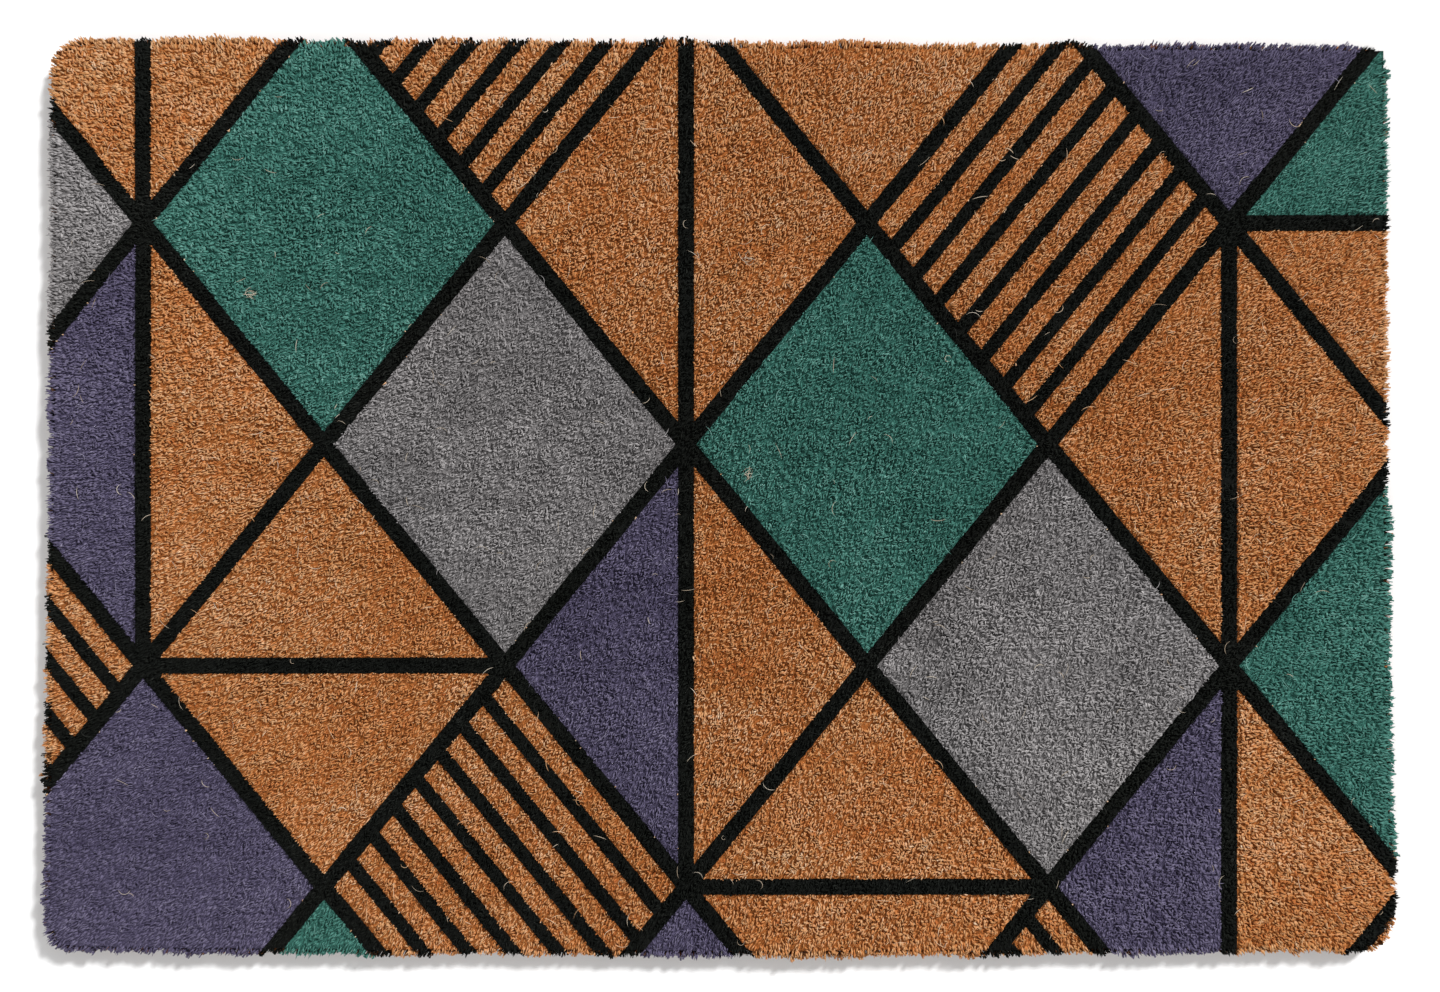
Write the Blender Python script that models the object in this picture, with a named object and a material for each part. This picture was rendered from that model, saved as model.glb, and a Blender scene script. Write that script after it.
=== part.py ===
"""Coir doormat, about 600 x 408 x 15 mm: one flat mat of short, stiff, dense coconut-fibre pile.

It lies on its flat underside with its long side along X. The origin is in the middle of the underside.
The rim is as uneven as cut coir is: the wall leans out from the cut edge at the floor, its tufts stand
out as small upright ridges, and a worn shoulder leads to a slightly lumpy top.
"""

import math
import random

import bmesh
import bpy
from mathutils import Vector, noise

MM = 0.001

# Main sizes
LENGTH = 600 * MM
DEPTH = 408 * MM
THICKNESS = 15 * MM

# Cut outline: how far each corner lies outside the nominal rectangle, and its radius,
# anticlockwise from the corner at -X -Y
CORNERS = (
    # x side, y side, out along x, out along y, radius
    (-1, -1, 1.0 * MM, -1.0 * MM, 5.0 * MM),
    (1, -1, 4.2 * MM, -0.9 * MM, 12.0 * MM),
    (1, 1, -0.1 * MM, -1.7 * MM, 4.0 * MM),
    (-1, 1, -2.5 * MM, 1.5 * MM, 8.0 * MM),
)
# How far the middle of each edge bows outwards, or inwards below zero: front, right, back, left
EDGE_BOWS = (2.3 * MM, -1.0 * MM, 0.6 * MM, 0.3 * MM)

# Uneven cut: a slow wander of the blade, and clusters of tufts that stand out together
WANDER = 0.8 * MM
WANDER_LENGTH = 70 * MM
CLUSTER = 0.7 * MM
CLUSTER_LENGTH = 11 * MM

# Tufts at the rim: ridges from the floor to the shoulder
TUFT_PITCH = 5.4 * MM
TUFT_DEPTH = 1.6 * MM
TUFT_DEPTH_LEAST = 0.5
LONG_TUFT_EVERY = 9
LONG_TUFT = 1.2 * MM
CORNER_STEPS_LEAST = 4

# Wall, from the cut edge at the floor to the top of the shoulder
RINGS = (
    # height, how far inside the outline, share of the tufts' depth
    (0.0 * MM, 1.8 * MM, 0.25),
    (7.0 * MM, 0.5 * MM, 1.0),
    (13.2 * MM, 1.1 * MM, 0.9),
    (14.7 * MM, 3.2 * MM, 0.4),
)

# Top: a low relief of lumps on a grid
LUMP = 0.7 * MM
LUMP_LENGTH = 34 * MM
TOP_CELL = 20 * MM
SNAP = 0.02 * MM
SHARP_ANGLE = math.radians(35)

SEED = 41
COIR_COLOUR = (0.33, 0.13, 0.05, 1.0)
COIR_ROUGHNESS = 0.92


def clear_scene():
    for thing in list(bpy.data.objects):
        bpy.data.objects.remove(thing, do_unlink=True)


def coir_material():
    material = bpy.data.materials.new("coir")
    material.use_nodes = True
    shader = material.node_tree.nodes["Principled BSDF"]
    shader.inputs["Base Color"].default_value = COIR_COLOUR
    shader.inputs["Roughness"].default_value = COIR_ROUGHNESS
    shader.inputs["Metallic"].default_value = 0.0
    return material


def corner_points():
    """The four corners of the cut outline, before they are rounded."""
    return [
        Vector((sx * (LENGTH / 2 + out_x), sy * (DEPTH / 2 + out_y)))
        for sx, sy, out_x, out_y, _ in CORNERS
    ]


def edge_stretch(start, end, start_radius, end_radius, bow):
    """Points along one bowed edge between its two rounded corners, each with its outward direction."""
    along = (end - start).normalized()
    outward = Vector((along.y, -along.x))
    first = start + along * start_radius
    run = (end - start).length - start_radius - end_radius
    steps = round(2 * run / TUFT_PITCH)
    for i in range(steps):
        share = i / steps
        bulge = bow * math.sin(math.pi * share)
        yield first + along * (run * share) + outward * bulge, outward


def corner_stretch(corner, before, after, radius):
    """Points round one corner's arc, each with its outward direction."""
    incoming = (corner - before).normalized()
    outgoing = (after - corner).normalized()
    from_centre = Vector((incoming.y, -incoming.x))
    centre = corner - incoming * radius - from_centre * radius
    turn = math.atan2(incoming.cross(outgoing), incoming.dot(outgoing))
    steps = max(CORNER_STEPS_LEAST, round(2 * radius * turn / TUFT_PITCH))
    for i in range(steps):
        angle = turn * i / steps
        outward = Vector(
            (
                from_centre.x * math.cos(angle) - from_centre.y * math.sin(angle),
                from_centre.x * math.sin(angle) + from_centre.y * math.cos(angle),
            )
        )
        yield centre + outward * radius, outward


def cut_outline():
    """The whole outline, anticlockwise, as (point, outward direction)."""
    corners = corner_points()
    radii = [row[-1] for row in CORNERS]
    outline = []
    for i, corner in enumerate(corners):
        j = (i + 1) % len(corners)
        after = corners[(i + 2) % len(corners)]
        outline += edge_stretch(corner, corners[j], radii[i], radii[j], EDGE_BOWS[i])
        outline += corner_stretch(corners[j], corner, after, radii[j])
    return outline


def tuft_reaches(count):
    """How far each outline point stands out: every second one is a tuft's tip, the others lie between."""
    draw = random.Random(SEED)
    reaches = []
    for i in range(count):
        tip = i % 2 == 0
        reach = -TUFT_DEPTH * draw.uniform(TUFT_DEPTH_LEAST, 1.0) * (not tip)
        if tip and draw.randrange(LONG_TUFT_EVERY) == 0:
            reach += LONG_TUFT * draw.random()
        reaches.append(reach)
    return reaches


def unevenness(point):
    """How far the cut wanders from the nominal outline at a point."""
    at = Vector((point.x, point.y, 0.0))
    wander = WANDER * noise.noise(at / WANDER_LENGTH)
    return wander + CLUSTER * noise.noise(at / CLUSTER_LENGTH)


def ring_of(bm, outline, reaches, height, inset, share):
    """One closed ring of the wall, as its edges in order."""
    places = []
    for (point, outward), reach in zip(outline, reaches):
        out = unevenness(point) + share * reach - inset
        places.append(point + outward * out)
    verts = [bm.verts.new((place.x, place.y, height)) for place in places]
    return [bm.edges.new((verts[i - 1], verts[i])) for i in range(len(verts))]


def cap_of(bm, edges):
    """The face inside one ring."""
    return bmesh.ops.contextual_create(bm, geom=edges)["faces"][0]


def cut_across(bm, faces, axis, reach):
    """Cuts the flat top along evenly spaced lines across one axis, and gives its faces then."""
    count = math.floor(2 * reach / TOP_CELL)
    for i in range(1, count):
        middle = Vector((0.0, 0.0, 0.0))
        middle[axis] = -reach + 2 * reach * i / count
        normal = Vector((0.0, 0.0, 0.0))
        normal[axis] = 1.0
        edges = {edge for face in faces for edge in face.edges}
        verts = {vert for face in faces for vert in face.verts}
        cut = bmesh.ops.bisect_plane(
            bm,
            geom=[*faces, *edges, *verts],
            plane_co=middle,
            plane_no=normal,
            dist=SNAP,
        )
        faces = {item for item in cut["geom"] if isinstance(item, bmesh.types.BMFace)}
    return faces


def lump(point):
    """How far the pile's top lies below the full thickness at a point."""
    at = Vector((point.x, point.y, 0.0)) / LUMP_LENGTH
    return LUMP * min(max(0.5 + noise.noise(at), 0.0), 1.0)


def centred(bm):
    """Moves the mesh so that its box is centred over the origin."""
    low = Vector(min(vert.co[i] for vert in bm.verts) for i in range(3))
    high = Vector(max(vert.co[i] for vert in bm.verts) for i in range(3))
    middle = (low + high) / 2
    bmesh.ops.translate(bm, verts=bm.verts, vec=(-middle.x, -middle.y, 0.0))


def mat_mesh():
    bm = bmesh.new()
    outline = cut_outline()
    reaches = tuft_reaches(len(outline))
    rings = [ring_of(bm, outline, reaches, *row) for row in RINGS]
    for lower, upper in zip(rings, rings[1:]):
        bmesh.ops.bridge_loops(bm, edges=lower + upper)
    cap_of(bm, rings[0])
    top = cap_of(bm, rings[-1])
    strips = cut_across(bm, {top}, 0, LENGTH / 2)
    cells = cut_across(bm, strips, 1, DEPTH / 2)
    for vert in {vert for cell in cells for vert in cell.verts}:
        if cells.issuperset(vert.link_faces):
            vert.co.z = THICKNESS - lump(vert.co)
    bmesh.ops.recalc_face_normals(bm, faces=bm.faces)
    centred(bm)
    mesh = bpy.data.meshes.new("mat")
    bm.to_mesh(mesh)
    bm.free()
    mesh.shade_smooth()
    mesh.set_sharp_from_angle(angle=SHARP_ANGLE)
    return mesh


def build():
    clear_scene()
    mesh = mat_mesh()
    mesh.materials.append(coir_material())
    mat = bpy.data.objects.new("mat", mesh)
    bpy.context.scene.collection.objects.link(mat)


build()
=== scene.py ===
"""Printed coir doormat, dressed: a dense pile of stiff coconut fibres standing in their ground.

Each fibre that shows is one small closed sliver, coloured by the print where it stands, dyed at its top
and bare coir below. The print is a plain harlequin of lozenges with black outlines and stripes.
"""

import math

import bpy
import numpy as np
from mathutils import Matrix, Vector


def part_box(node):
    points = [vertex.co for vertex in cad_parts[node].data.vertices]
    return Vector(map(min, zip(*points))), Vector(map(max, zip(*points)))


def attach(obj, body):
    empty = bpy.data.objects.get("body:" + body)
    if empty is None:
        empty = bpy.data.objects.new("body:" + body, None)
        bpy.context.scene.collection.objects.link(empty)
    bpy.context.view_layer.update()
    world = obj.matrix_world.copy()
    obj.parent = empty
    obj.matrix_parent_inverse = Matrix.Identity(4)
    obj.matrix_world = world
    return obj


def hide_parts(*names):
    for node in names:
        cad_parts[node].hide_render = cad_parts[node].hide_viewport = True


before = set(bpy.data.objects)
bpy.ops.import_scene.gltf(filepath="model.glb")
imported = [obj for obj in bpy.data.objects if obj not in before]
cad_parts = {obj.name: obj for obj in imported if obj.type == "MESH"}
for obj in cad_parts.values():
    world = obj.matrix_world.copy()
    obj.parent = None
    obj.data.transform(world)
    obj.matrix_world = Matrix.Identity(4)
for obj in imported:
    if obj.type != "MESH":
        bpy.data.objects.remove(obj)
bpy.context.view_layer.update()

MM = 0.001

# The mat's box, read from the frame, and its cut size laid flat
MAT_LOW, MAT_HIGH = (np.array(corner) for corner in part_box("mat"))
THICKNESS = MAT_HIGH[2]

# Rings of points on the CAD mat's wall: their heights, and how exactly a point's place is read
FLOOR_RING = 0 * MM
FULLEST_RING = 7 * MM
RING_SLACK = 0.1 * MM
RING_DIGITS = 5

# Search for a ring's nearest run: its reach past the rim, its steps, and what facing squarely counts
BOX_SLACK = 6 * MM
POINTS_AT_ONCE = 4000
SQUARE_WEIGHT = 0.001

# The least lengths, plain and squared, that anything is divided by
TINY = 1e-9
TINY_SQUARE = 1e-12

# Random patches start so far outside the mat
PATCH_MARGIN = 20 * MM

# The print's lozenges: their size, the place where four of them meet, and their lines and stripes
LOZENGE = (162 * MM, 198 * MM)
LOZENGE_CORNER = (-15 * MM, 24 * MM)
OUTLINE = 7.2 * MM
STRIPE = 6.2 * MM
STRIPES = 7

# How wide a lozenge is between two opposite sides, and the gap between its stripes
LOZENGE_BREADTH = 1 / math.hypot(1 / LOZENGE[0], 1 / LOZENGE[1])
STRIPE_GAP = (LOZENGE_BREADTH - OUTLINE - STRIPES * STRIPE) / (STRIPES + 1)

# What fills the lozenges, in turn along a row; each row starts so many steps further on
NATURAL, BLACK, GREEN, VIOLET, GREY = range(5)
FILLS = (
    # kind, colour below or left, colour above or right
    ("plain", GREEN, GREEN),
    ("rising stripes", NATURAL, NATURAL),
    ("plain", VIOLET, VIOLET),
    ("cut across", NATURAL, NATURAL),
    ("plain", GREY, GREY),
    ("cut upright", NATURAL, NATURAL),
    ("cut across", NATURAL, GREEN),
    ("falling stripes", NATURAL, NATURAL),
    ("cut upright", VIOLET, NATURAL),
)
FILL_STEP = 4

# How far the print strays from its drawing: slow and quick wobble of its edges, and fibre by fibre
PRINT_WOBBLES = ((28 * MM, 0.45 * MM), (4 * MM, 0.12 * MM))
PRINT_SCATTER = 0.06 * MM

# Fibres left bare beside black edges: how near they stand, and their share
PALE_EDGE_REACH = 0.5 * MM
PALE_EDGE_SHARE = 0.1

# Pile: fibres on a loose grid, with tips cut level; they lean further along one diagonal
PILE_PITCH = 1.18 * MM
ROOT_SCATTER = 0.45
PILE_FOOT = 10.8 * MM
PILE_TOP = 14.7 * MM
TOP_UNEVEN = 0.4 * MM
FIBRE_LEAN = ((0.68 * MM, 0.68 * MM), (0.46 * MM, -0.46 * MM))
FOOT_WIDTH = 1.05 * MM
WIDTH_VARIES = (0.7, 1.2)

# The ridge at a fibre's tip: its length, how much it falls ahead, and how much it turns to one side
TIP_LENGTH = (0.5 * MM, 1.9 * MM)
TIP_FALL = 0.3
RIDGE_TURN = 0.9

# Clumps that the fibres gather into: how the bounds between them stray, and what each does as one
CLUMP_PITCH = 3.0 * MM
CLUMP_STRAY = (4.1 * MM, 1.6 * MM)
CLUMP_PULL = 0.30
CLUMP_LEAN = 0.5 * MM
CLUMP_DROP = 0.8 * MM
CLUMP_TONE = 0.05

# Fibres across an edge of the print: the share of tip and of lean that they keep
TIP_AT_EDGES = 0.4
LEAN_AT_EDGES = 0.2

# What grows from the middle to the corners: outward lean, calm and the length of the tips
SPREAD = 1.4 * MM
CALM_AT_CORNERS = 0.45
TIP_GROWTH = 0.3

# Pits between the fibres, on patches turned and shifted against the others, shallower far out; their fibres
# also get a painted shade, darker the deeper the pit
PIT_PITCH = 1.7 * MM
PIT_TURN = ((0.89, 0.456), (-0.456, 0.89))
PIT_SHIFT = 200 * MM
PIT_LEVEL = 0.4
PIT_DROP = 2.8 * MM
PIT_PAINTED_SHADE = 0.7
PIT_IN_MIDDLE = 1.1
PIT_FADE = 0.4

# Rim of the pile: how far in it reaches, and how its fibres lean out, stand in, hang over and drop
RIM_REACH = 7 * MM
RIM_LEAN = 2.0 * MM
RIM_INSET = 1.2 * MM
RIM_OVERHANG = 0.9 * MM
RIM_DROP = 1.2 * MM

# Lumps along the rim, on the wall and the pile alike: rounded ones, then two slower waves
RIM_LUMP = (5 * MM, 1.9 * MM)
RIM_LUMP_MEAN = 0.3
RIM_WAVES = ((12 * MM, 0.5 * MM), (30 * MM, 0.6 * MM))
RIM_LUMP_LEAST = -1.6 * MM

# Corners of the pile, worn round: the side that each is on and its radius
CORNERS = ((-1, -1, 14 * MM), (1, -1, 21 * MM), (1, 1, 14 * MM), (-1, 1, 17 * MM))
CORNER_REACH = 30 * MM
INNER_BOX_INSET = 12 * MM

# Wall: long fibres that stand from the floor to the shoulder, in rows one behind the other
WALL_SPACING = 0.34 * MM
WALL_ROWS = (-1.3 * MM, -0.3 * MM)
WALL_FOOT = (0.2 * MM, 2.5 * MM)
WALL_FOOT_INSET = 1.6 * MM
WALL_FOOT_BULGE = 0.5
WALL_TOP = (8 * MM, 13.9 * MM)
WALL_TOP_INSET = 0.5 * MM
WALL_WIDTH = 0.95 * MM
WALL_TIP_LENGTH = (0.4 * MM, 1.1 * MM)
WALL_SWAY = 0.5 * MM
WALL_BLUNT_SHARE = 0.75

# Tone of a fibre, from 0 in shade to 1 in the sun: its mean, how it varies, and that of bare ones
MEAN_TONE = 0.5
FIBRE_TONE = 0.095
CORNER_TONE = 0.075
BARE_TONE = (0.75, 1.0)
TONE_LIMITS = (0.02, 0.98)

# Patches and streaks of slightly other tone: their size and strength
TONE_PATCHES = ((30 * MM, 0.09), ((80 * MM, 7 * MM), 0.08), (9 * MM, 0.05))

# Share of the warmer coir among the natural, and the patches and streaks that change it
WARM_SHARE = 0.5
WARM_PATCHES = ((22 * MM, 0.25), ((90 * MM, 6 * MM), 0.2))

# Curls: longer fibres that lie bent over the pile, most of them printed with it
CURLS = 1500
CURL_RINGS = 6
CURL_SIDES = 3
CURL_RADIUS = 0.13 * MM
CURL_RADIUS_VARIES = (0.7, 1.3)
CURL_TAPER = 0.75
CURL_LENGTH = (2.5 * MM, 8 * MM)
CURL_BEND = 1.5
CURL_HEIGHT = 14.5 * MM
CURL_RISE = 0.6 * MM
CURL_RISE_VARIES = (0.2, 1.0)
CURL_SINK = 0.3 * MM
CURL_TONE = (0.6, 1.0)
CURL_SIDE_TONES = (-0.004, 0.004, 0.0)
CURL_DYE_HEIGHT = (0.86, 0.98)

# Loose curls, which the print left bare: single ones, and a few bursts of them
LOOSE_SHARE = 0.2
LOOSE_STRETCH = 0.95
LOOSE_THINNING = 0.8
LOOSE_TONE = (0.1, 0.8)
BURSTS = 3
BURST_HAIRS = 8
BURST_REACH = 0.6 * MM

# Flecks: flat crumbs of pith caught in the pile
FLECKS = 22
FLECK_SIDES = 6
FLECK_SKEW = 0.3
FLECK_SIZE = (0.8 * MM, 2.0 * MM)
FLECK_SIZE_VARIES = (0.6, 1.0)
FLECK_WIDTH = 0.5
FLECK_THICKNESS = 0.3 * MM
FLECK_WARP = 0.2 * MM
FLECK_TONE = (0.7, 0.88)
FLECK_CORNER_TONES = (-0.01, 0.01)
FLECK_DYE_HEIGHT = (0.9, 0.98)

# Curls and flecks lie at least so far inside the rim
LAID_INSIDE = 3.5 * MM

# Core: the ground and the depth of the pile, below the fibres that show
CORE_CELL = 4 * MM
CORE_TOP = 11.7 * MM
CORE_RISE = 0.6 * MM
CORE_LUMP = 0.5 * MM
CORE_LUMP_CELLS = (3.1 * MM, 17 * MM)
CORE_INSET = 1.0 * MM

# Seeds: one for all the draws, and the first of each set of patches
SEED = 20
CORE_SEED = 7
TONE_SEED = 31
PIT_SEED = 41
STRAY_SEED = 43
WARM_SEED = 51
LUMP_SEED = 60
WAVE_SEED = 61
WOBBLE_SEED = 100

# Colours, in linear light, from a fibre in shade to one in the sun, and the tones at which they lie
COIR_WARM = ((0.271, 0.0605, 0.00927), (0.386, 0.147, 0.042), (0.453, 0.228, 0.104), (0.517, 0.363, 0.244))
COIR_STRAW = ((0.262, 0.0688, 0.0128), (0.372, 0.165, 0.0552), (0.443, 0.254, 0.126), (0.536, 0.407, 0.285))
COIR_PALE = ((0.26, 0.20, 0.14), (0.38, 0.31, 0.23), (0.50, 0.43, 0.34), (0.64, 0.59, 0.51))
DYES = {
    BLACK: (
        (0.0024, 0.0028, 0.0022),
        (0.0046, 0.0053, 0.0044),
        (0.007, 0.008, 0.0068),
        (0.0185, 0.0196, 0.0174),
    ),
    GREEN: (
        (0.00671, 0.0444, 0.0325),
        (0.0324, 0.122, 0.0985),
        (0.063, 0.182, 0.151),
        (0.143, 0.291, 0.256),
    ),
    VIOLET: (
        (0.0232, 0.0176, 0.0418),
        (0.0687, 0.0589, 0.105),
        (0.104, 0.0905, 0.148),
        (0.174, 0.158, 0.223),
    ),
    GREY: (
        (0.063, 0.0583, 0.0592),
        (0.172, 0.163, 0.163),
        (0.258, 0.245, 0.245),
        (0.348, 0.331, 0.326),
    ),
}
TONE_STOPS = (0.0, 0.38, 0.68, 1.0)

# The heights on the mat, as shares of its thickness, between which the dye begins, and how they vary
DYE_BEGINS = (0.50, 0.62)
DYE_UNEVEN = 0.04

# How rough a fibre is, from shade to sun, and how much it shines
FIBRE_ROUGHNESS = (0.9, 0.62)
FIBRE_SHINE = 0.2
BLACK_SHINE = 0.04

# The core's colours: coir, a painted shade that sets how dark they all are for the shaded depth of the
# pile, and a mottle from its darkest value to its palest
CORE_COIR = (0.31, 0.102, 0.024)
CORE_PAINTED_SHADE = 0.8
CORE_MOTTLE = (0.25, 0.75, 1.15, 1.6)
CORE_MOTTLE_STOPS = (0.32, 0.45, 0.58, 0.72)
CORE_SHINE = 0.1
UNDERSIDE_STOPS = (0.25, 0.5, 0.65, 0.85)

# Grain of the core and of its underside: the span of values that its roughness follows
GRAIN_SPAN = (0.3, 0.7)

# Studio: the floor, which lies a little below the mat, an even light all round, and two suns
FLOOR_HALF = 3.0
FLOOR_DROP = 0.0003
FLOOR_GREY = 0.62
STUDIO_LIGHT = 0.6
SUNS = (
    # name, energy, how wide it is, azimuth and elevation in degrees
    ("key", 4.6, 9, 46, 46.5),
    ("fill", 1.2, 40, 226, 50),
)

# Camera: its height over the mat, the width that it sees there, its place, and its own settings
CAMERA_HEIGHT = 0.95
VIEW_WIDTH = 0.6425
CAMERA_PLACE = (0.2 * MM, 0.9 * MM)
SENSOR_WIDTH = 36
FARTHEST_SEEN = 20


def patches(points, cell, seed):
    """Smooth random patches from -1 to 1: random values on a grid, blended between its corners."""
    at = (points[:, :2] - MAT_LOW[:2] + PATCH_MARGIN) / np.array(cell)
    base = np.floor(at).astype(int)
    share = at - base
    share = share * share * (3 - 2 * share)
    values = np.random.default_rng(seed).uniform(-1, 1, base.max(axis=0) + 2)
    (x, y), (across, up) = base.T, share.T
    lower = values[x, y] * (1 - across) + values[x + 1, y] * across
    upper = values[x, y + 1] * (1 - across) + values[x + 1, y + 1] * across
    return lower * (1 - up) + upper * up


def ring_at(height):
    """The CAD mat's outline at one height: its points in order, anticlockwise."""
    mesh = bpy.data.objects["mat"].data
    places = np.empty(len(mesh.vertices) * 3)
    mesh.vertices.foreach_get("co", places)
    places = places.reshape(-1, 3)
    near = places[np.abs(places[:, 2] - height) < RING_SLACK, :2]
    points = np.unique(np.round(near, RING_DIGITS), axis=0)
    # Their order round a smaller box: by the way out from it, and along each of its sides
    inner = points.clip(MAT_LOW[:2] + INNER_BOX_INSET, MAT_HIGH[:2] - INNER_BOX_INSET)
    way_out = points - inner
    turn = np.arctan2(way_out[:, 1], way_out[:, 0])
    along = inner[:, 1] * np.cos(turn) - inner[:, 0] * np.sin(turn)
    return rounded(points[np.lexsort([along, turn])])


def rounded(ring):
    """A ring whose corners are drawn in to arcs."""
    for x_side, y_side, radius in CORNERS:
        ring = ring * (x_side, y_side)
        near = (ring > MAT_HIGH[:2] - CORNER_REACH).all(axis=1)
        centre = ring[near].max(axis=0) - radius
        out = ring - centre
        beyond = (out > 0).all(axis=1)
        reach = np.linalg.norm(out[beyond], axis=1, keepdims=True)
        ring[beyond] = centre + out[beyond] * np.minimum(1, radius / reach)
        ring = ring * (x_side, y_side)
    return ring


def depth_inside(points, ring):
    """How far each point lies inside a ring, and the way out from there. Far inside it is RIM_REACH."""
    starts, ends = ring, np.roll(ring, -1, axis=0)
    runs = ends - starts
    lengths = np.maximum(np.linalg.norm(runs, axis=1), TINY)
    ways_out = np.stack([runs[:, 1], -runs[:, 0]], axis=1) / lengths[:, None]
    depth = np.full(len(points), RIM_REACH)
    outward = np.zeros((len(points), 2))
    box_depth = np.minimum(points - ring.min(axis=0), ring.max(axis=0) - points).min(axis=1)
    near = np.flatnonzero(box_depth < RIM_REACH + BOX_SLACK)
    for some in np.array_split(near, max(1, len(near) // POINTS_AT_ONCE)):
        apart = points[some, None] - starts[None]
        share = ((apart * runs).sum(axis=2) / lengths**2).clip(0, 1)
        gaps = np.linalg.norm(apart - share[:, :, None] * runs, axis=2)
        # Of two runs that meet at the nearest point, the one that faces it more squarely counts
        squarely = np.abs((apart * ways_out).sum(axis=2))
        nearest = (gaps - SQUARE_WEIGHT * squarely).argmin(axis=1)
        rows = np.arange(len(some))
        side = -np.sign((apart[rows, nearest] * ways_out[nearest]).sum(axis=1))
        depth[some] = np.minimum(side * gaps[rows, nearest], RIM_REACH)
        outward[some] = ways_out[nearest]
    return depth, outward


def from_middle(points):
    """Each point's place against the mat's middle, one long at the corners."""
    return points[:, :2] / np.linalg.norm(MAT_HIGH[:2])


def bulge_at(points):
    """How far the rim stands out there beyond its ring."""
    pitch, reach = RIM_LUMP
    out = reach * (np.abs(patches(points, pitch, LUMP_SEED)) - RIM_LUMP_MEAN)
    for order, (cell, wave) in enumerate(RIM_WAVES):
        out += wave * patches(points, cell, WAVE_SEED + order)
    return np.maximum(out, RIM_LUMP_LEAST)


def laid_inside(count, ring, draw):
    """Random places on the mat's top, all a little inside its rim."""
    places = draw.uniform(-1, 1, (count, 2)) * (MAT_HIGH[:2] - MAT_LOW[:2]) / 2
    depth, _ = depth_inside(places, ring)
    return places[depth > LAID_INSIDE]


def print_at(points):
    """The print's colour at each point of the top: lozenges on two families of slanting lines."""
    width, height = LOZENGE
    x, y = points[:, 0] - LOZENGE_CORNER[0], points[:, 1] - LOZENGE_CORNER[1]
    rising, falling = x / width + y / height, x / width - y / height
    column, row = np.floor(rising).astype(int), np.floor(falling).astype(int)
    across, up = rising - column, falling - row
    sideways, upwards = (across + up - 1) / 2 * width, (across - up) / 2 * height
    zone = np.full(len(points), NATURAL)
    for index, (kind, first, second) in enumerate(FILLS):
        here = (column + FILL_STEP * row) % len(FILLS) == index
        cut = {"cut across": upwards, "cut upright": sideways}.get(kind)
        stripes = {"rising stripes": up, "falling stripes": across}.get(kind)
        fill = np.full(len(points), first)
        if cut is not None:
            fill = np.where(cut > 0, second, first)
            fill = np.where(np.abs(cut) < OUTLINE / 2, BLACK, fill)
        if stripes is not None:
            in_pitch = (stripes * LOZENGE_BREADTH - OUTLINE / 2) % (STRIPE_GAP + STRIPE)
            fill = np.where(in_pitch > STRIPE_GAP, BLACK, first)
        zone = np.where(here, fill, zone)
    to_side = np.minimum(np.minimum(across, 1 - across), np.minimum(up, 1 - up))
    return np.where(to_side * LOZENGE_BREADTH < OUTLINE / 2, BLACK, zone)


def zones_of(points, foot, half_tips, draw):
    """The print's colour on each fibre, and which fibres lie across its edges or are bare beside them."""
    moved = points[:, :2].copy()
    for order, (cell, reach) in enumerate(PRINT_WOBBLES):
        for axis in range(2):
            moved[:, axis] += reach * patches(points, cell, WOBBLE_SEED + 2 * order + axis)
    moved += draw.normal(0, PRINT_SCATTER, moved.shape)
    zone = print_at(moved)
    across = (print_at(moved - half_tips) != zone) | (print_at(moved + half_tips) != zone)
    across |= print_at(moved + foot[:, :2] - points[:, :2]) != zone
    beside = print_at(moved + draw.uniform(-PALE_EDGE_REACH, PALE_EDGE_REACH, moved.shape))
    at_edge = (beside != zone) & ((beside == BLACK) | (zone == BLACK))
    bare = at_edge & (draw.random(len(points)) < PALE_EDGE_SHARE)
    return np.where(bare, NATURAL, zone), across, bare


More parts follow.
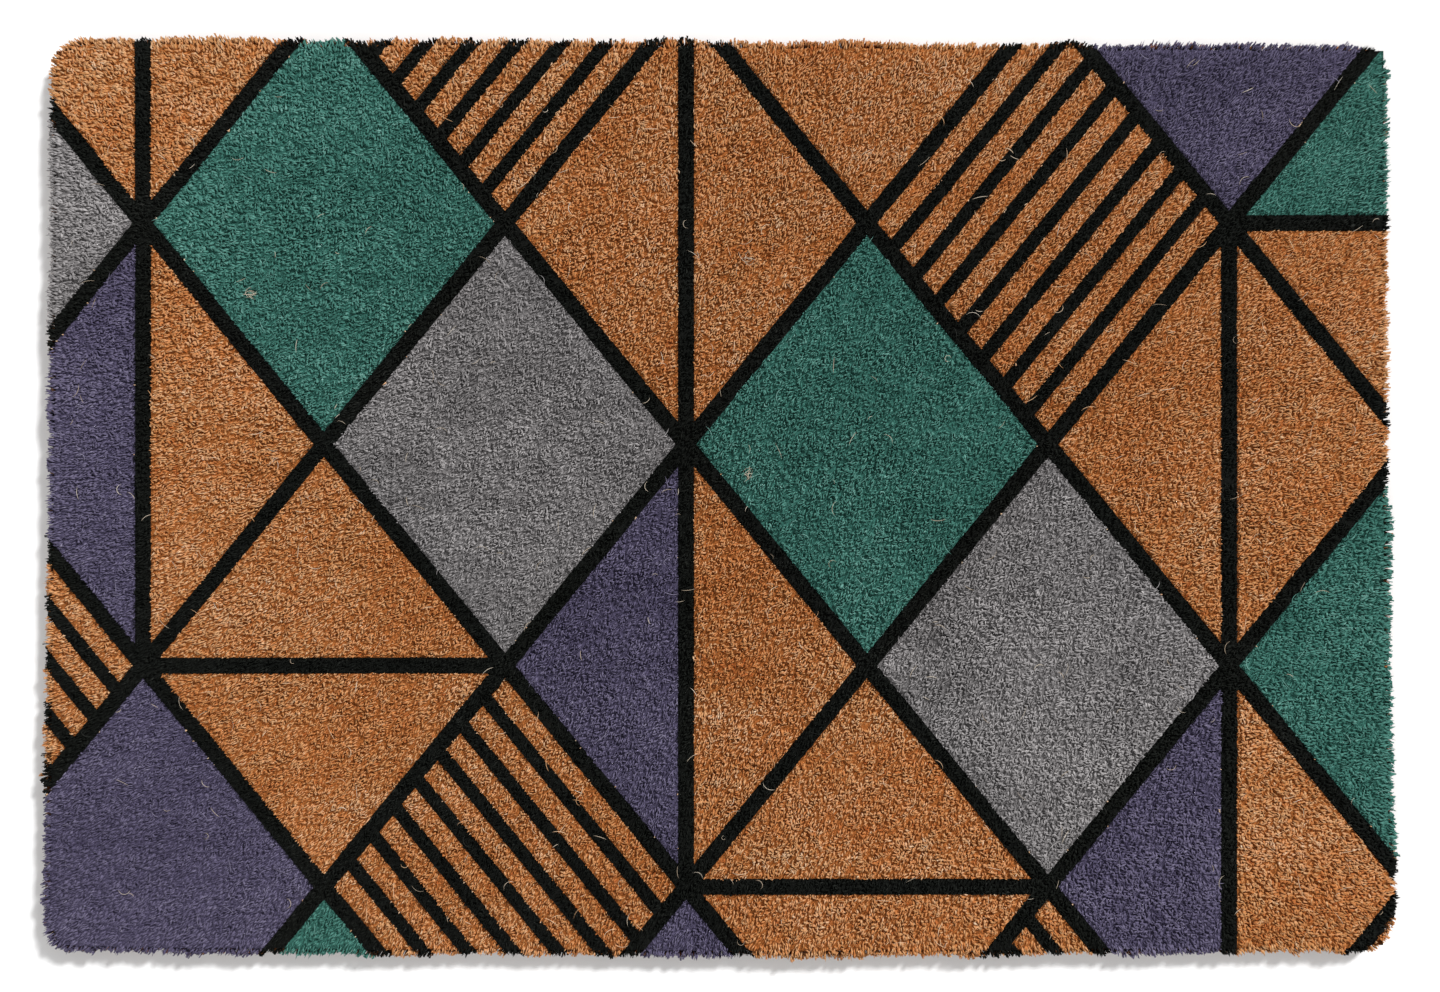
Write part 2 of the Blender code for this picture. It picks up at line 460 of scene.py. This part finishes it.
def pile_fibres(ring, draw):
    """The fibres of the top: roots on a loose grid, tips drawn to their clump and cut nearly level."""
    low, high = ring.min(axis=0), ring.max(axis=0)
    step = np.array([PILE_PITCH, PILE_PITCH * math.sqrt(3) / 2])
    columns, rows = np.ceil((high - low) / step).astype(int)
    grid = np.stack(np.meshgrid(np.arange(columns), np.arange(rows)), -1).reshape(-1, 2).astype(float)
    grid[:, 0] += 0.5 * (grid[:, 1] % 2)
    root = low + (grid + draw.uniform(-ROOT_SCATTER, ROOT_SCATTER, grid.shape)) * step
    depth, outward = depth_inside(root, ring)
    root, depth, outward = (x[depth > RIM_INSET] for x in (root, depth, outward))
    count = len(root)
    near_rim = (1 - depth / RIM_REACH)[:, None]
    root += outward * near_rim * bulge_at(root)[:, None]

    stray_pitch, stray = CLUMP_STRAY
    ways = np.stack([patches(root, stray_pitch, STRAY_SEED + axis) for axis in range(2)], axis=1)
    cell = np.floor((root + stray * ways - low) / CLUMP_PITCH).astype(int).clip(0)
    shape = tuple(cell.max(axis=0) + 1)
    of_cell = tuple(cell.T)
    middle = low + (cell + 0.5 + draw.uniform(-0.5, 0.5, (*shape, 2))[of_cell]) * CLUMP_PITCH
    lean = draw.normal(0, CLUMP_LEAN, (*shape, 2))[of_cell]
    calm = 1 - CALM_AT_CORNERS * np.linalg.norm(from_middle(root), axis=1, keepdims=True)
    lean = calm * (lean + CLUMP_PULL * (middle - root) + draw.normal(0, 1, (count, 2)) @ FIBRE_LEAN)
    lean += SPREAD * from_middle(root) + outward * RIM_LEAN * near_rim
    beyond = ((lean * outward).sum(axis=1) - depth - RIM_OVERHANG).clip(0)
    lean -= outward * beyond[:, None]
    drop = CLUMP_DROP * draw.random(shape)[of_cell] ** 2 + np.abs(draw.normal(0, TOP_UNEVEN, count))
    drop += RIM_DROP * (1 - depth / RIM_REACH) ** 2
    tip = np.column_stack([root + lean, PILE_TOP - drop])
    foot = np.column_stack([root, np.full(count, PILE_FOOT)])
    clump_tone = draw.normal(0, CLUMP_TONE, shape)[of_cell]
    return foot, tip, clump_tone


def wall_fibres(ring, draw):
    """The fibres of the wall: from just above the floor to the shoulder, along the whole rim."""
    ends = np.roll(ring, -1, axis=0)
    runs = ends - ring
    lengths = np.linalg.norm(runs, axis=1)
    reach = np.concatenate([[0], np.cumsum(lengths)])
    feet, tips = [], []
    for inset in WALL_ROWS:
        along = np.arange(0, reach[-1], WALL_SPACING)
        along = (along + draw.uniform(0, WALL_SPACING, len(along))) % reach[-1]
        piece = (np.searchsorted(reach, along, side="right") - 1).clip(0, len(ring) - 1)
        share = ((along - reach[piece]) / np.maximum(lengths[piece], TINY))[:, None]
        place = ring[piece] + runs[piece] * share
        forward = runs[piece] / np.maximum(lengths[piece], TINY)[:, None]
        way_out = np.stack([forward[:, 1], -forward[:, 0]], axis=1)
        count = len(along)
        bulge = bulge_at(place)
        foot = place + way_out * (WALL_FOOT_BULGE * bulge - inset - WALL_FOOT_INSET)[:, None]
        top_bulge = bulge - inset - draw.uniform(0, WALL_TOP_INSET, count)
        top = place + way_out * top_bulge[:, None]
        top += forward * draw.normal(0, WALL_SWAY, count)[:, None]
        feet.append(np.column_stack([foot, draw.uniform(*WALL_FOOT, count)]))
        tips.append(np.column_stack([top, draw.uniform(*WALL_TOP, count)]))
    return np.concatenate(feet), np.concatenate(tips)


def mesh_from(name, places, faces):
    """A triangle mesh from arrays of places and corners."""
    mesh = bpy.data.meshes.new(name)
    mesh.vertices.add(len(places))
    mesh.vertices.foreach_set("co", places.astype(np.float32).ravel())
    mesh.loops.add(faces.size)
    mesh.loops.foreach_set("vertex_index", faces.astype(np.int32).ravel())
    mesh.polygons.add(len(faces))
    mesh.polygons.foreach_set("loop_start", np.arange(0, faces.size, 3, dtype=np.int32))
    mesh.update(calc_edges=True)
    mesh.shade_smooth()
    return mesh


def add_values(mesh, name, values):
    """A named value at each point of a mesh, which its material reads."""
    mesh.attributes.new(name, "FLOAT", "POINT").data.foreach_set("value", values.astype(np.float32))


def add_map(mesh, tone, dye_height):
    """A map on which each corner lies by its tone and its height, the two values that set its colour."""
    corners = np.empty(len(mesh.loops), np.int32)
    mesh.loops.foreach_get("vertex_index", corners)
    places = np.stack([tone, dye_height], axis=1)[corners].clip(0.002, 0.998)
    layer = mesh.uv_layers.new(name="OFBake", do_init=False)
    layer.uv.foreach_set("vector", places.astype(np.float32).ravel())


def piece_from(name, mesh, material):
    """A piece of the dressed mat, riding on its one body."""
    mesh.materials.append(material)
    piece = bpy.data.objects.new(name, mesh)
    bpy.context.scene.collection.objects.link(piece)
    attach(piece, "root")
    return piece


def ridges_of(foot, tip, turn):
    """The way the ridge at each fibre's tip runs, level and one long: as it leans, turned towards +X +Y."""
    ahead = tip[:, 0] - foot[:, 0] + 1j * (tip[:, 1] - foot[:, 1])
    ahead /= np.maximum(np.abs(ahead), TINY)
    ahead = np.sqrt(ahead**2 + 1j * turn)
    ahead /= np.maximum(np.abs(ahead), TINY)
    return np.stack([ahead.real, ahead.imag, np.zeros(len(foot))], axis=1)


def slivers(foot, tip, ahead, foot_width, tip_length, tone, dye_shift, blunt, draw):
    """Fibres as closed slivers: a ridge at the tip that runs ahead, and an edge across it at the foot.

    A blunt fibre has the two the other way round.
    """
    count = len(foot)
    aside = np.stack([ahead[:, 1], -ahead[:, 0], np.zeros(count)], axis=1)
    ahead, aside = np.where(blunt[:, None], -aside, ahead), np.where(blunt[:, None], ahead, aside)
    at_foot = aside * foot_width[:, None] / 2
    fall = TIP_FALL * ~blunt[:, None] * np.array([0, 0, 1])
    at_tip = (ahead - fall) * tip_length[:, None] / 2
    places = np.stack([foot - at_foot, foot + at_foot, tip - at_tip, tip + at_tip], axis=1).reshape(-1, 3)
    faces = np.array([(0, 1, 2), (0, 3, 1), (0, 2, 3), (1, 3, 2)])
    faces = (faces[None] + 4 * np.arange(count)[:, None, None]).reshape(-1, 3)
    tones = np.repeat(tone, 4) + draw.normal(0, CORNER_TONE, 4 * count)
    return places, faces, tones, places[:, 2] / THICKNESS + np.repeat(dye_shift, 4)


def curls(middle, stretch, thinning, tone_range, draw):
    """Bent fibres that lie on the pile, each a thin three-sided tube that tapers to both ends."""
    count = len(middle)
    along = np.linspace(-0.5, 0.5, CURL_RINGS)
    length = draw.uniform(*CURL_LENGTH, count) * stretch
    bend = draw.normal(0, CURL_BEND, count)
    angles = draw.uniform(0, 2 * math.pi, count)[:, None] + bend[:, None] * along
    steps = np.stack([np.cos(angles), np.sin(angles)], axis=2) * length[:, None, None] / (CURL_RINGS - 1)
    path = middle[:, None] + np.cumsum(steps, axis=1) - steps.sum(axis=1, keepdims=True) / 2
    arch = 1 - (2 * along) ** 2
    rise = CURL_RISE * draw.uniform(*CURL_RISE_VARIES, count)[:, None] * arch - CURL_SINK
    centres = np.concatenate([path, (CURL_HEIGHT + rise)[:, :, None]], axis=2)
    side = np.stack([np.sin(angles), -np.cos(angles), np.zeros_like(angles)], axis=2)
    taper = 1 - CURL_TAPER * np.abs(2 * along) ** 3
    radius = thinning * CURL_RADIUS * draw.uniform(*CURL_RADIUS_VARIES, count)[:, None] * taper
    around = 2 * math.pi * np.arange(CURL_SIDES) / CURL_SIDES
    ways = side[:, :, None] * np.cos(around)[:, None] + np.array([0, 0, 1.0]) * np.sin(around)[:, None]
    places = (centres[:, :, None] + ways * radius[:, :, None, None]).reshape(-1, 3)
    corner = np.arange((CURL_RINGS - 1) * CURL_SIDES)
    beside = corner - corner % CURL_SIDES + (corner + 1) % CURL_SIDES
    last = (CURL_RINGS - 1) * CURL_SIDES
    faces = np.concatenate(
        [
            np.stack([corner, beside, beside + CURL_SIDES], axis=1),
            np.stack([corner, beside + CURL_SIDES, corner + CURL_SIDES], axis=1),
            [(0, 2, 1), (last, last + 1, last + 2)],
        ]
    )
    size = CURL_RINGS * CURL_SIDES
    faces = (faces[None] + size * np.arange(count)[:, None, None]).reshape(-1, 3)
    tones = np.repeat(draw.uniform(*tone_range, count), size)
    tones += np.tile(CURL_SIDE_TONES, count * CURL_RINGS)
    dye_height = np.repeat(np.linspace(*CURL_DYE_HEIGHT, CURL_RINGS), CURL_SIDES)
    return places, faces, tones, np.tile(dye_height, count)


def flecks(middle, draw):
    """Crumbs of pith: small irregular plates with a low peak on both sides."""
    count = len(middle)
    shape = (count, FLECK_SIDES)
    sides = np.arange(FLECK_SIDES) + draw.uniform(-FLECK_SKEW, FLECK_SKEW, shape)
    around = 2 * math.pi * sides / FLECK_SIDES
    reach = draw.uniform(*FLECK_SIZE, count)[:, None] * draw.uniform(*FLECK_SIZE_VARIES, shape)
    height = CURL_HEIGHT + draw.uniform(-FLECK_WARP, FLECK_WARP, shape)
    turn = draw.uniform(0, math.pi, count)[:, None]
    along, across = reach * np.cos(around), FLECK_WIDTH * reach * np.sin(around)
    x = middle[:, :1] + along * np.cos(turn) - across * np.sin(turn)
    y = middle[:, 1:] + along * np.sin(turn) + across * np.cos(turn)
    rim = np.stack([x, y, height], axis=2)
    peaks = np.repeat(np.column_stack([middle, np.full(count, CURL_HEIGHT)])[:, None], 2, axis=1)
    peaks[:, 0, 2] += FLECK_THICKNESS / 2
    peaks[:, 1, 2] -= FLECK_THICKNESS / 2
    places = np.concatenate([rim, peaks], axis=1).reshape(-1, 3)
    corner = np.arange(FLECK_SIDES)
    beside = (corner + 1) % FLECK_SIDES
    upper = np.stack([corner, beside, np.full(FLECK_SIDES, FLECK_SIDES)], axis=1)
    lower = np.stack([beside, corner, np.full(FLECK_SIDES, FLECK_SIDES + 1)], axis=1)
    size = FLECK_SIDES + 2
    faces = (np.concatenate([upper, lower])[None] + size * np.arange(count)[:, None, None]).reshape(-1, 3)
    tones = np.repeat(draw.uniform(*FLECK_TONE, count), size)
    tones += np.tile(np.linspace(*FLECK_CORNER_TONES, size), count)
    return places, faces, tones, np.tile(np.linspace(*FLECK_DYE_HEIGHT, size), count)


def fibre_piece(name, parts, material):
    """One piece of joined fibres: each part has places, faces, tones and heights for the dye."""
    before = np.cumsum([0] + [len(part[0]) for part in parts])
    places = np.concatenate([part[0] for part in parts])
    faces = np.concatenate([part[1] + start for part, start in zip(parts, before)])
    tones = np.concatenate([part[2] for part in parts]).clip(0, 1)
    dye_height = np.concatenate([part[3] for part in parts]).clip(0, 1)
    mesh = mesh_from(name, places, faces)
    add_values(mesh, "tone", tones)
    add_values(mesh, "dye_height", dye_height)
    add_map(mesh, tones, dye_height)
    print(name, len(faces), "triangles")
    return piece_from(name, mesh, material)


def core_piece(ring, material, underside):
    """The closed core: a lumpy top on a fine grid, a wall just inside the rim, and the flat underside."""
    low, high = ring.min(axis=0), ring.max(axis=0)
    columns, rows = np.round((high - low) / CORE_CELL).astype(int)
    xs, ys = np.linspace(low[0], high[0], columns + 1), np.linspace(low[1], high[1], rows + 1)
    grid = np.stack(np.meshgrid(xs, ys), -1).reshape(-1, 2)
    index = np.arange(len(grid)).reshape(rows + 1, columns + 1)
    rim = np.concatenate([index[0], index[1:, -1], index[-1, -2::-1], index[-2:0:-1, 0]])
    for vertex in rim:
        grid[vertex] = inside_rim(grid[vertex], ring)
    small, large = (patches(grid, cell, CORE_SEED + order) for order, cell in enumerate(CORE_LUMP_CELLS))
    lumps = CORE_LUMP * (small + large) / 2
    rise = CORE_RISE * np.linalg.norm(from_middle(grid), axis=1)
    top = np.column_stack([grid, CORE_TOP + rise + lumps])
    bottom = np.column_stack([grid[rim], np.zeros(len(rim))])
    lower = index[:-1, :-1].ravel()
    right, above = lower + 1, lower + columns + 1
    top_faces = np.concatenate(
        [np.stack([lower, right, above + 1], 1), np.stack([lower, above + 1, above], 1)]
    )
    foot = len(grid) + np.arange(len(rim))
    after = np.roll(rim, -1), np.roll(foot, -1)
    wall_faces = np.concatenate(
        [np.stack([foot, after[1], after[0]], 1), np.stack([foot, after[0], rim], 1)]
    )
    centre = len(grid) + len(rim)
    under_faces = np.stack([np.full(len(rim), centre), after[1], foot], 1)
    places = np.concatenate([top, bottom, [(0.0, 0.0, 0.0)]])
    mesh = mesh_from("core", places, np.concatenate([top_faces, wall_faces, under_faces]))
    core = piece_from("core", mesh, material)
    mesh.materials.append(underside)
    slots = np.zeros(len(mesh.polygons), np.int32)
    slots[-len(rim):] = 1
    mesh.polygons.foreach_set("material_index", slots)
    mesh.polygons.foreach_set("use_smooth", slots == 0)
    return core


def inside_rim(place, ring):
    """A place on the box's edge, moved to lie a little inside the ring."""
    runs = np.roll(ring, -1, axis=0) - ring
    share = ((place - ring) * runs).sum(axis=1) / np.maximum((runs**2).sum(axis=1), TINY_SQUARE)
    on_ring = ring + share.clip(0, 1)[:, None] * runs
    nearest = on_ring[np.linalg.norm(on_ring - place, axis=1).argmin()]
    inward = -nearest / np.linalg.norm(nearest)
    return nearest + inward * CORE_INSET


def node_tree(name):
    """A new material, its node tree and its Principled shader."""
    material = bpy.data.materials.new(name)
    material.use_nodes = True
    tree = material.node_tree
    return material, tree, tree.nodes["Principled BSDF"]


def value_node(tree, name):
    """The value of that name at a fibre's points."""
    node = tree.nodes.new("ShaderNodeAttribute")
    node.attribute_name = name
    return node.outputs["Fac"]


def ramp_node(tree, source, colours, places=TONE_STOPS, blend="LINEAR"):
    """Colours along a value, each at its own place."""
    node = tree.nodes.new("ShaderNodeValToRGB")
    node.color_ramp.interpolation = blend
    stops = node.color_ramp.elements
    while len(stops) < len(colours):
        stops.new(0.5)
    for stop, place, colour in zip(stops, places, colours):
        stop.position = place
        stop.color = (*colour, 1.0)
    tree.links.new(source, node.inputs["Fac"])
    return node.outputs["Color"]


def range_node(tree, source, from_range, to_range, smooth=False):
    """A value moved from one range to another."""
    node = tree.nodes.new("ShaderNodeMapRange")
    node.interpolation_type = "SMOOTHSTEP" if smooth else "LINEAR"
    node.inputs["From Min"].default_value, node.inputs["From Max"].default_value = from_range
    node.inputs["To Min"].default_value, node.inputs["To Max"].default_value = to_range
    tree.links.new(source, node.inputs["Value"])
    return node.outputs["Result"]


def mix_node(tree, share, first, second, blend="MIX"):
    """Two colours mixed by a share; each may be a node's result or a constant."""
    node = tree.nodes.new("ShaderNodeMix")
    node.data_type = "RGBA"
    node.blend_type = blend
    sockets = [socket for socket in node.inputs if socket.enabled]
    for socket, value in zip(sockets, (share, first, second)):
        if isinstance(value, float):
            socket.default_value = value
        elif isinstance(value, tuple):
            socket.default_value = (*value, 1.0)
        else:
            tree.links.new(value, socket)
    return next(socket for socket in node.outputs if socket.enabled)


def fibre_material(name, bare, dye=None):
    """Coir fibres, from shaded to pale by their tone, and dyed above the depth that the print reaches."""
    material, tree, shader = node_tree(name)
    tone = value_node(tree, "tone")
    colour = ramp_node(tree, tone, bare)
    if dye is not None:
        dyed = range_node(tree, value_node(tree, "dye_height"), DYE_BEGINS, (0.0, 1.0), smooth=True)
        colour = mix_node(tree, dyed, colour, ramp_node(tree, tone, dye))
    tree.links.new(colour, shader.inputs["Base Color"])
    tree.links.new(range_node(tree, tone, (0, 1), FIBRE_ROUGHNESS), shader.inputs["Roughness"])
    shine = BLACK_SHINE if dye is DYES[BLACK] else FIBRE_SHINE
    shader.inputs["Specular IOR Level"].default_value = shine
    return material


def calc(tree, operation, *values):
    """A Math node on numbers or other nodes' results."""
    node = tree.nodes.new("ShaderNodeMath")
    node.operation = operation
    for socket, value in zip(node.inputs, values):
        if isinstance(value, (int, float)):
            socket.default_value = value
        else:
            tree.links.new(value, socket)
    return node.outputs["Value"]


def table_node(tree, place, rows):
    """The row of a table that a place from 0 to 1 falls in, as a colour."""
    starts = [index / len(rows) for index in range(len(rows))]
    return ramp_node(tree, place, rows, starts, "CONSTANT")


def split_node(tree, colour):
    """A place's or a colour's three values, as the outputs X, Y and Z."""
    node = tree.nodes.new("ShaderNodeSeparateXYZ")
    tree.links.new(colour, node.inputs["Vector"])
    return node.outputs


def print_nodes(tree, palette):
    """The same print as print_at draws, as a shader's colour."""
    place = split_node(tree, tree.nodes.new("ShaderNodeTexCoord").outputs["Object"])
    width, height = LOZENGE
    x = calc(tree, "DIVIDE", calc(tree, "SUBTRACT", place["X"], LOZENGE_CORNER[0]), width)
    y = calc(tree, "DIVIDE", calc(tree, "SUBTRACT", place["Y"], LOZENGE_CORNER[1]), height)
    rising, falling = calc(tree, "ADD", x, y), calc(tree, "SUBTRACT", x, y)
    column, row = calc(tree, "FLOOR", rising), calc(tree, "FLOOR", falling)
    across, up = calc(tree, "SUBTRACT", rising, column), calc(tree, "SUBTRACT", falling, row)
    step = calc(tree, "MULTIPLY", row, FILL_STEP)
    fill = calc(tree, "FLOORED_MODULO", calc(tree, "ADD", column, step), len(FILLS))
    fill = calc(tree, "DIVIDE", calc(tree, "ADD", fill, 0.5), len(FILLS))
    first = table_node(tree, fill, [palette[row[1]] for row in FILLS])
    second = table_node(tree, fill, [palette[row[2]] for row in FILLS])
    cuts = [(kind == "cut across", kind == "cut upright", 0) for kind, _, _ in FILLS]
    cut_flags = split_node(tree, table_node(tree, fill, cuts))
    stripes = [(kind == "rising stripes", kind == "falling stripes", 0) for kind, _, _ in FILLS]
    stripe_flags = split_node(tree, table_node(tree, fill, stripes))

    upwards = calc(tree, "MULTIPLY", calc(tree, "SUBTRACT", across, up), height / 2)
    sideways = calc(tree, "SUBTRACT", calc(tree, "ADD", across, up), 1)
    sideways = calc(tree, "MULTIPLY", sideways, width / 2)
    cut = calc(tree, "MULTIPLY", cut_flags["X"], upwards)
    cut = calc(tree, "ADD", cut, calc(tree, "MULTIPLY", cut_flags["Y"], sideways))
    plain = mix_node(tree, calc(tree, "GREATER_THAN", cut, 0), first, second)
    on_cut = calc(tree, "LESS_THAN", calc(tree, "ABSOLUTE", cut), OUTLINE / 2)
    on_cut = calc(tree, "MULTIPLY", on_cut, calc(tree, "ADD", cut_flags["X"], cut_flags["Y"]))

    level = calc(tree, "MULTIPLY", stripe_flags["X"], up)
    level = calc(tree, "ADD", level, calc(tree, "MULTIPLY", stripe_flags["Y"], across))
    level = calc(tree, "SUBTRACT", calc(tree, "MULTIPLY", level, LOZENGE_BREADTH), OUTLINE / 2)
    in_pitch = calc(tree, "FLOORED_MODULO", level, STRIPE_GAP + STRIPE)
    on_stripe = calc(tree, "GREATER_THAN", in_pitch, STRIPE_GAP)
    on_stripe = calc(tree, "MULTIPLY", on_stripe, calc(tree, "ADD", stripe_flags["X"], stripe_flags["Y"]))

    to_sides = [calc(tree, "PINGPONG", value, 0.5) for value in (rising, falling)]
    on_line = calc(tree, "LESS_THAN", calc(tree, "MINIMUM", *to_sides), OUTLINE / 2 / LOZENGE_BREADTH)
    black = calc(tree, "MAXIMUM", calc(tree, "MAXIMUM", on_cut, on_stripe), on_line)
    return mix_node(tree, black, plain, palette[BLACK])


def grain_nodes(tree, shader, scale, detail, distortion, depth, roughness):
    """A fine random grain, as a bump of the surface and in its roughness."""
    place = tree.nodes.new("ShaderNodeTexCoord")
    noise = tree.nodes.new("ShaderNodeTexNoise")
    noise.inputs["Scale"].default_value = scale
    noise.inputs["Detail"].default_value = detail
    noise.inputs["Distortion"].default_value = distortion
    tree.links.new(place.outputs["Object"], noise.inputs["Vector"])
    grain = noise.outputs["Fac"]
    bump = tree.nodes.new("ShaderNodeBump")
    bump.inputs["Distance"].default_value = depth
    tree.links.new(grain, bump.inputs["Height"])
    tree.links.new(bump.outputs["Normal"], shader.inputs["Normal"])
    tree.links.new(range_node(tree, grain, GRAIN_SPAN, roughness), shader.inputs["Roughness"])
    return grain


def core_material():
    """The depth of the pile: the print's colours, darkened with painted shade and mottled fibre by fibre.
    """
    material, tree, shader = node_tree("pile_depth")
    # Painted shade: the darker coir and dye colours, darkened further, for the shaded depth between the
    # fibres
    palette = np.array([CORE_COIR, *(DYES[dye][1] for dye in (BLACK, GREEN, VIOLET, GREY))])
    print_colour = print_nodes(tree, [tuple(colour) for colour in CORE_PAINTED_SHADE * palette])
    grain = grain_nodes(
        tree, shader, scale=1100, detail=3, distortion=2, depth=0.8 * MM, roughness=(1.0, 0.85)
    )
    mottle = ramp_node(tree, grain, [(value,) * 3 for value in CORE_MOTTLE], CORE_MOTTLE_STOPS)
    tree.links.new(mix_node(tree, 1.0, print_colour, mottle, "MULTIPLY"), shader.inputs["Base Color"])
    shader.inputs["Specular IOR Level"].default_value = CORE_SHINE
    return material


def underside_material():
    """The plain underside: flat matted coir, brown and faintly mottled."""
    material, tree, shader = node_tree("underside")
    grain = grain_nodes(
        tree, shader, scale=350, detail=6, distortion=0, depth=0.6 * MM, roughness=(0.95, 0.8)
    )
    colour = ramp_node(tree, grain, COIR_WARM, UNDERSIDE_STOPS)
    tree.links.new(colour, shader.inputs["Base Color"])
    return material


def all_fibres(ring, draw):
    """The fibres of the top and of the wall: the print's colour on each, and its values for slivers."""
    foot, tip, clump_tone = pile_fibres(ring, draw)
    wall_foot, wall_tip = wall_fibres(ring, draw)
    on_wall = np.arange(len(foot) + len(wall_foot)) >= len(foot)
    foot, tip = np.concatenate([foot, wall_foot]), np.concatenate([tip, wall_tip])
    clump_tone = np.concatenate([clump_tone, np.zeros(len(wall_foot))])
    count = len(foot)
    away = np.linalg.norm(from_middle(tip), axis=1)
    tip_length = draw.uniform(*TIP_LENGTH, count) * (1 + TIP_GROWTH * away)
    tip_length = np.where(on_wall, draw.uniform(*WALL_TIP_LENGTH, count), tip_length)
    ahead = ridges_of(foot, tip, RIDGE_TURN * ~on_wall)
    half_tips = ahead[:, :2] * tip_length[:, None] / 2
    zone, across, bare = zones_of(tip, foot, half_tips, draw)
    blunt = on_wall & (draw.random(count) < WALL_BLUNT_SHARE)
    across &= ~on_wall
    tip_length = np.where(across, TIP_AT_EDGES * tip_length, tip_length)
    foot[across, :2] = tip[across, :2] + LEAN_AT_EDGES * (foot - tip)[across, :2]
    tone = MEAN_TONE + clump_tone + draw.normal(0, FIBRE_TONE, count)
    for order, (cell, strength) in enumerate(TONE_PATCHES):
        tone += strength * patches(tip, cell, TONE_SEED + order)
    turned = tip[:, :2] @ PIT_TURN + PIT_SHIFT
    pit = (patches(turned, PIT_PITCH, PIT_SEED) - PIT_LEVEL).clip(0, 1)
    pit = pit * ~on_wall * (PIT_IN_MIDDLE - PIT_FADE * away)
    tip[:, 2] -= PIT_DROP * pit
    # Painted shade: fibres in a pit are darkened as well as lowered
    tone -= PIT_PAINTED_SHADE * pit
    tone = np.where(bare, draw.uniform(*BARE_TONE, count), tone).clip(*TONE_LIMITS)
    dye_shift = draw.normal(0, DYE_UNEVEN, count)
    foot_width = np.where(on_wall, WALL_WIDTH, FOOT_WIDTH) * draw.uniform(*WIDTH_VARIES, count)
    return zone, (foot, tip, ahead, foot_width, tip_length, tone, dye_shift, blunt)


def build_pile():
    """All the fibres, in one piece for each colour of the print, and the core below them."""
    draw = np.random.default_rng(SEED)
    ring = ring_at(FULLEST_RING)
    zone, values = all_fibres(ring, draw)
    tip = values[1]

    bent = laid_inside(CURLS, ring, draw)
    loose = draw.random(len(bent)) < LOOSE_SHARE
    bent_zone = np.where(loose, -1, print_at(bent))
    crumb = laid_inside(FLECKS, ring, draw)
    crumb_zone = print_at(crumb)

    chance = draw.random(len(tip))
    warm_share = np.full(len(tip), WARM_SHARE)
    for order, (cell, strength) in enumerate(WARM_PATCHES):
        warm_share += strength * patches(tip, cell, WARM_SEED + order)
    warm = chance < warm_share
    groups = (
        # name, colour in the print, which half of it, colours of the bare fibre, and of the dyed one
        ("pile_natural_warm", NATURAL, warm, COIR_WARM, None),
        ("pile_natural_straw", NATURAL, ~warm, COIR_STRAW, None),
        ("pile_black", BLACK, None, COIR_WARM, DYES[BLACK]),
        ("pile_green", GREEN, None, COIR_WARM, DYES[GREEN]),
        ("pile_violet", VIOLET, None, COIR_WARM, DYES[VIOLET]),
        ("pile_grey", GREY, None, COIR_WARM, DYES[GREY]),
    )
    for name, colour, half, bare_colours, dye in groups:
        chosen = zone == colour if half is None else (zone == colour) & half
        parts = [slivers(*(value[chosen] for value in values), draw)]
        if half is not warm:
            # The natural curls and flecks all go with the straw half
            parts.append(curls(bent[bent_zone == colour], 1.0, 1.0, CURL_TONE, draw))
            parts.append(flecks(crumb[crumb_zone == colour], draw))
        fibre_piece(name, parts, fibre_material(name, bare_colours, dye))
    bursts = np.repeat(laid_inside(BURSTS, ring, draw), BURST_HAIRS, axis=0)
    bursts += draw.normal(0, BURST_REACH, bursts.shape)
    pale = np.concatenate([bent[loose], bursts])
    loose_curls = curls(pale, LOOSE_STRETCH, LOOSE_THINNING, LOOSE_TONE, draw)
    fibre_piece("loose_fibres", [loose_curls], fibre_material("loose_fibre", COIR_PALE))
    core = core_piece(ring_at(FLOOR_RING), core_material(), underside_material())
    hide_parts("mat")


def build_stage():
    """A pale floor, a soft key light from the upper right, a softer fill and even light from all round."""
    corners = FLOOR_HALF * np.array([(-1, -1, 0), (1, -1, 0), (1, 1, 0), (-1, 1, 0)])
    floor = mesh_from("floor", corners, np.array([(0, 1, 2), (0, 2, 3)]))
    material, _, shader = node_tree("floor")
    shader.inputs["Base Color"].default_value = (FLOOR_GREY, FLOOR_GREY, FLOOR_GREY, 1.0)
    shader.inputs["Roughness"].default_value = 1.0
    shader.inputs["Specular IOR Level"].default_value = 0.0
    floor.materials.append(material)
    stage = bpy.data.objects.new("floor", floor)
    bpy.context.scene.collection.objects.link(stage)
    stage.location.z = -FLOOR_DROP

    world = bpy.data.worlds.new("studio")
    world.use_nodes = True
    world.node_tree.nodes["Background"].inputs["Strength"].default_value = STUDIO_LIGHT
    world.node_tree.nodes["Background"].inputs["Color"].default_value = (1.0, 1.0, 1.0, 1.0)
    bpy.context.scene.world = world

    for name, energy, angle, azimuth, elevation in SUNS:
        sun = bpy.data.lights.new(name, "SUN")
        sun.energy = energy
        sun.angle = math.radians(angle)
        lamp = bpy.data.objects.new(name, sun)
        bpy.context.scene.collection.objects.link(lamp)
        across, up = math.radians(azimuth), math.radians(elevation)
        level = Vector((math.cos(across), math.sin(across), 0)) * math.cos(up)
        towards = level + Vector((0, 0, math.sin(up)))
        lamp.rotation_euler = towards.to_track_quat("Z", "Y").to_euler()


def build_camera():
    """Straight above the mat, so high that it fills the photo's frame as there."""
    camera = bpy.data.cameras.new("camera")
    camera.sensor_width = SENSOR_WIDTH
    camera.lens = SENSOR_WIDTH * CAMERA_HEIGHT / VIEW_WIDTH
    camera.clip_end = FARTHEST_SEEN
    holder = bpy.data.objects.new("camera", camera)
    holder.location = (*CAMERA_PLACE, CAMERA_HEIGHT + THICKNESS)
    bpy.context.scene.collection.objects.link(holder)
    bpy.context.scene.camera = holder


build_pile()
build_stage()
build_camera()
bpy.context.scene.view_settings.view_transform = "Standard"
